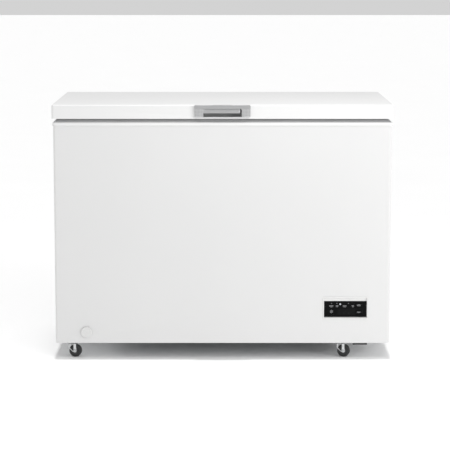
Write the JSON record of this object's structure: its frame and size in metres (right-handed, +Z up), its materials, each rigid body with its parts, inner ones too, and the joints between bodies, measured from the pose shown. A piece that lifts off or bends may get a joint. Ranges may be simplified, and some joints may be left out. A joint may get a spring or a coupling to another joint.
{
  "type": "chest freezer",
  "caption": "Foam-insulated white chest freezer on swivel casters, with a counterbalanced top lid, recessed handle, wire basket, low control panel and front drain.",
  "frame": {"origin": "on the floor, under the centre of the overall box", "axes": "+X to the right of somebody facing the front, +Y to the back, +Z up; the handle, control panel and drain are on the -Y side"},
  "size_m": [1.118, 0.645, 0.845],
  "materials": {
    "white_enamel": "smooth white powder coat",
    "white_plastic": "satin white moulding",
    "grey_profile": "matte grey extrusion",
    "gasket": "soft light grey seal",
    "handle_grey": "silver-grey, finely textured",
    "panel_black": "gloss black",
    "liner": "stucco-embossed sheet",
    "foam": "rigid foam",
    "galvanised": "galvanised",
    "copper": "bare tube",
    "black_steel": "black paint",
    "black_plastic": "moulded",
    "zinc": "zinc plated",
    "steel": "bright",
    "rubber": "matte",
    "wire": "white coated wire",
    "board": "circuit board"
  },
  "bodies": {
    "cabinet": {"outer_shell": "white_enamel", "back_panel": "galvanised", "bottom_panel": "galvanised", "collar_frame": "grey_profile", "inner_liner": "liner", "foam_body": "foam", "evaporator_coil": "copper", "condenser_coil": "black_steel", "bay_wall": "galvanised", "compressor_tray": "galvanised", "compressor": "black_steel", "relay_cover": "black_plastic", "filter_drier": "copper", "capillary_tube": "copper", "side_vent_grille": "white_plastic", "rear_cover": "galvanised", "cord_gland": "rubber", "panel_bezel": "white_plastic", "panel_display": "panel_black", "control_board": "board", "drain_tube": "white_plastic", "hinge_base_left": "zinc", "hinge_base_right": "zinc", "hinge_pin_left": "steel", "hinge_pin_right": "steel", "hinge_spring_left": "steel", "hinge_spring_right": "steel", "caster_plate_front_left": "zinc", "caster_plate_front_right": "zinc", "caster_plate_rear_left": "zinc", "caster_plate_rear_right": "zinc"},
    "lid": {"lid_outer_shell": "white_enamel", "lid_foam": "foam", "lid_inner_panel": "white_plastic", "lid_gasket": "gasket", "handle_housing": "handle_grey", "handle_grip": "handle_grey", "hinge_arm_left": "zinc", "hinge_arm_right": "zinc"},
    "basket": {"basket_wall_left": "wire", "basket_wall_right": "wire", "basket_wall_front": "wire", "basket_wall_back": "wire", "basket_floor": "wire"},
    "drain_cap": {"drain_cap": "white_plastic"},
    "drain_plug": {"drain_plug": "white_plastic"},
    "button_set": {"button_set": "panel_black"},
    "button_mode": {"button_mode": "panel_black"},
    "fork_front_left": {"caster_fork_front_left": "zinc", "caster_axle_front_left": "steel"},
    "wheel_front_left": {"caster_wheel_front_left": "rubber"},
    "fork_front_right": {"caster_fork_front_right": "zinc", "caster_axle_front_right": "steel"},
    "wheel_front_right": {"caster_wheel_front_right": "rubber"},
    "fork_rear_left": {"caster_fork_rear_left": "zinc", "caster_axle_rear_left": "steel"},
    "wheel_rear_left": {"caster_wheel_rear_left": "rubber"},
    "fork_rear_right": {"caster_fork_rear_right": "zinc", "caster_axle_rear_right": "steel"},
    "wheel_rear_right": {"caster_wheel_rear_right": "rubber"}
  },
  "joints": [
    {"name": "lid_hinge", "type": "hinge", "parent": "cabinet", "child": "lid", "pos_m": [0, 0.314, 0.803], "axis": [-1, 0, 0], "range_deg": [0, 85], "stiffness_Nm_per_rad": 12, "springref_deg": 85.94},
    {"name": "basket_slide", "type": "slide", "parent": "cabinet", "child": "basket", "axis": [-1, 0, 0], "range_m": [0, 0.71]},
    {"name": "drain_cap_pull", "type": "slide", "parent": "cabinet", "child": "drain_cap", "axis": [0, -1, 0], "range_m": [0, 0.026]},
    {"name": "drain_plug_lift", "type": "slide", "parent": "cabinet", "child": "drain_plug", "axis": [0, 0, 1], "range_m": [0, 0.04]},
    {"name": "button_set_press", "type": "slide", "parent": "cabinet", "child": "button_set", "axis": [0, 1, 0], "range_m": [0, 0.0008], "stiffness_N_per_m": 600},
    {"name": "button_mode_press", "type": "slide", "parent": "cabinet", "child": "button_mode", "axis": [0, 1, 0], "range_m": [0, 0.0008], "stiffness_N_per_m": 600},
    {"name": "caster_swivel_front_left", "type": "hinge", "parent": "cabinet", "child": "fork_front_left", "pos_m": [-0.505, -0.27, 0.045], "axis": [0, 0, 1], "continuous": true},
    {"name": "caster_roll_front_left", "type": "hinge", "parent": "fork_front_left", "child": "wheel_front_left", "pos_m": [-0.49121, -0.27243, 0.021], "axis": [0.1736, 0.9848, 0], "continuous": true},
    {"name": "caster_swivel_front_right", "type": "hinge", "parent": "cabinet", "child": "fork_front_right", "pos_m": [0.391, -0.27, 0.045], "axis": [0, 0, 1], "continuous": true},
    {"name": "caster_roll_front_right", "type": "hinge", "parent": "fork_front_right", "child": "wheel_front_right", "pos_m": [0.40469, -0.27291, 0.021], "axis": [0.2079, 0.9781, 0], "continuous": true},
    {"name": "caster_swivel_rear_left", "type": "hinge", "parent": "cabinet", "child": "fork_rear_left", "pos_m": [-0.505, 0.248, 0.045], "axis": [0, 0, 1], "continuous": true},
    {"name": "caster_roll_rear_left", "type": "hinge", "parent": "fork_rear_left", "child": "wheel_rear_left", "pos_m": [-0.49142, 0.25139, 0.021], "axis": [-0.2419, 0.9703, 0], "continuous": true},
    {"name": "caster_swivel_rear_right", "type": "hinge", "parent": "cabinet", "child": "fork_rear_right", "pos_m": [0.391, 0.248, 0.045], "axis": [0, 0, 1], "continuous": true},
    {"name": "caster_roll_rear_right", "type": "hinge", "parent": "fork_rear_right", "child": "wheel_rear_right", "pos_m": [0.40379, 0.24231, 0.021], "axis": [0.4067, 0.9135, 0], "continuous": true}
  ]
}
